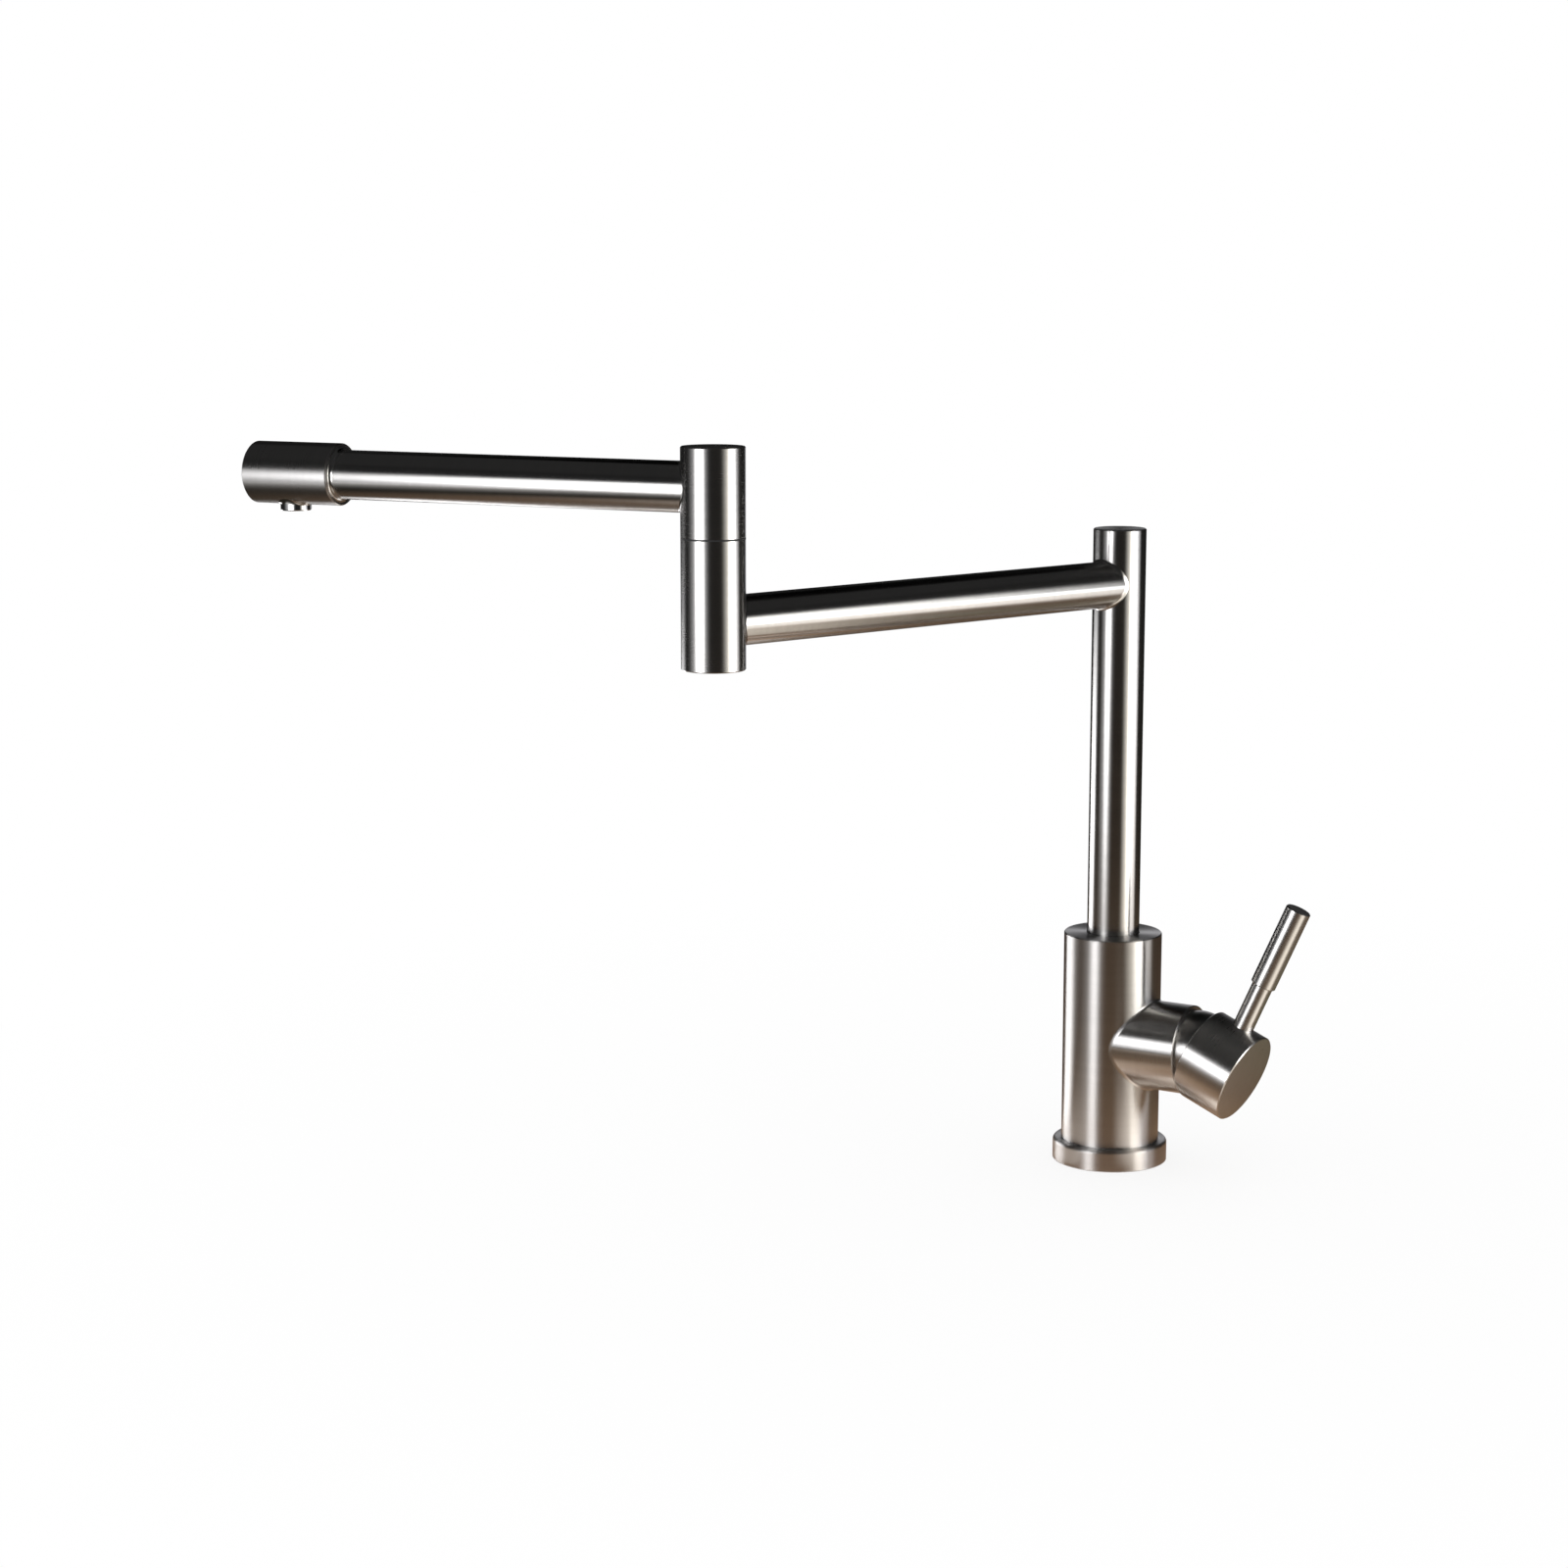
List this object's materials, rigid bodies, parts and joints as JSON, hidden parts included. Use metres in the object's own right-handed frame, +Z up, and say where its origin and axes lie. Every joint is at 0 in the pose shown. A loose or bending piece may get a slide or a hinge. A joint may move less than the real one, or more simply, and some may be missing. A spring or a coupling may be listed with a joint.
{
  "type": "deck tap with folding arm",
  "caption": "Deck-mounted single-lever mixing tap with a long two-part arm that swivels on the riser and folds at an elbow, ending in a down-facing aerator.",
  "frame": {"origin": "centre of the flange's underside, on the deck, on the riser's axis", "axes": "+Z up, +X along the valve boss on the tap's right, -Y to the front of the sink"},
  "size_m": [0.4283, 0.3234, 0.3789],
  "materials": {
    "body_steel": "satin brushed stainless steel, brushed round the pieces",
    "tube_steel": "fine brushed stainless steel, brushed round the tubes",
    "polished_steel": "polished steel",
    "screw_steel": "plain stainless steel",
    "brass": "machined brass",
    "acetal": "white acetal",
    "seal_rubber": "black rubber",
    "ceramic": "lapped white alumina"
  },
  "bodies": {
    "base": {"base_flange": "body_steel", "deck_gasket": "seal_rubber", "body_casting": "body_steel", "inlet_block": "brass", "way_seals": "seal_rubber", "block_screws": "screw_steel", "foot_washer": "acetal", "top_bush": "acetal", "riser_screw": "screw_steel", "cartridge_base": "acetal", "port_seals": "seal_rubber", "fixed_disc": "ceramic", "cartridge_housing": "acetal", "cartridge_nut": "brass", "bonnet": "body_steel"},
    "riser": {"riser_foot": "brass", "riser_seals": "seal_rubber", "lower_bush": "acetal", "riser_tube": "tube_steel", "riser_cap": "tube_steel", "lower_arm": "tube_steel", "lower_knuckle": "tube_steel", "knuckle_base_plug": "tube_steel", "elbow_spindle": "brass", "elbow_seals": "seal_rubber", "elbow_washer": "acetal", "clip_washer": "screw_steel", "elbow_clip": "screw_steel"},
    "outer_arm": {"upper_knuckle": "tube_steel", "knuckle_top_plug": "tube_steel", "upper_arm": "tube_steel", "outlet_head": "tube_steel", "head_plug": "tube_steel", "aerator_housing": "polished_steel", "aerator_insert": "acetal", "aerator_seal": "seal_rubber"},
    "valve_turn": {"spindle_guide": "acetal", "spindle_pin": "screw_steel"},
    "handle": {"valve_spindle": "screw_steel", "handle_cap": "body_steel", "lever_rod": "polished_steel", "lever_grip": "polished_steel", "handle_grub": "screw_steel"},
    "mixer_disc": {"moving_disc": "ceramic", "disc_slider": "acetal"}
  },
  "joints": [
    {"name": "riser_swivel", "type": "hinge", "parent": "base", "child": "riser", "pos_m": [0, 0, 0.1197], "axis": [0, 0, 1], "continuous": true},
    {"name": "elbow_swivel", "type": "hinge", "parent": "riser", "child": "outer_arm", "pos_m": [-0.08077, -0.25008, 0.3376], "axis": [0, 0, 1], "continuous": true},
    {"name": "handle_turn", "type": "hinge", "parent": "base", "child": "valve_turn", "pos_m": [0.0487, 0, 0.0632], "axis": [1, 0, 0], "range_deg": [-38, 52]},
    {"name": "handle_tilt", "type": "hinge", "parent": "valve_turn", "child": "handle", "pos_m": [0.0487, 0, 0.0632], "axis": [0, 0.9925, -0.1219], "range_deg": [-22, 0]},
    {"name": "disc_slide", "type": "slide", "parent": "valve_turn", "child": "mixer_disc", "axis": [0, 0.1219, 0.9925], "range_m": [-0.00712, 0]}
  ],
  "couplings": [
    {"joint": "disc_slide", "follows": "handle_tilt", "m_per_rad": 0.018537}
  ]
}
